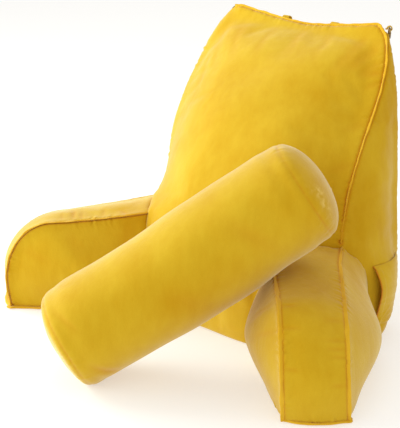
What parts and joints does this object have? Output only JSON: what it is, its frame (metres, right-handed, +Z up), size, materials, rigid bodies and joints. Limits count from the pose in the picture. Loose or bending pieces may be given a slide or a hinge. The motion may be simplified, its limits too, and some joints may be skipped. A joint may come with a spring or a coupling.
{
  "type": "reading pillow with arms",
  "caption": "Wedge-shaped reading pillow in velvet, with splayed filled arms, a loose round bolster, a side pocket, short top tabs and small rings.",
  "frame": {"origin": "On the floor, under the middle of the backrest's base.", "axes": "+X towards the pillow's right side as the picture shows it, where the pocket is; +Y to the back; +Z up. A sitting person looks along -Y."},
  "size_m": [0.8618, 0.6863, 0.5622],
  "materials": {
    "yellow_velvet": "soft cut pile with a pale sheen at the rims",
    "seam_velvet": "the same pile on raised seam edges, tabs and loops",
    "antique_brass": "dark antique brass, satin"
  },
  "bodies": {
    "root": {"backrest": "yellow_velvet", "arm_left": "yellow_velvet", "arm_right": "yellow_velvet", "bolster": "yellow_velvet", "pocket_panel": "yellow_velvet", "seam_back": "seam_velvet", "seam_arm_left_inner": "seam_velvet", "seam_arm_left_outer": "seam_velvet", "seam_arm_left_base": "seam_velvet", "seam_arm_right_inner": "seam_velvet", "seam_arm_right_outer": "seam_velvet", "seam_arm_right_base": "seam_velvet", "top_tab_left": "seam_velvet", "top_tab_right": "seam_velvet", "ring_tab_left": "seam_velvet", "ring_tab_right": "seam_velvet", "ring_left": "antique_brass", "ring_right": "antique_brass"}
  },
  "joints": []
}
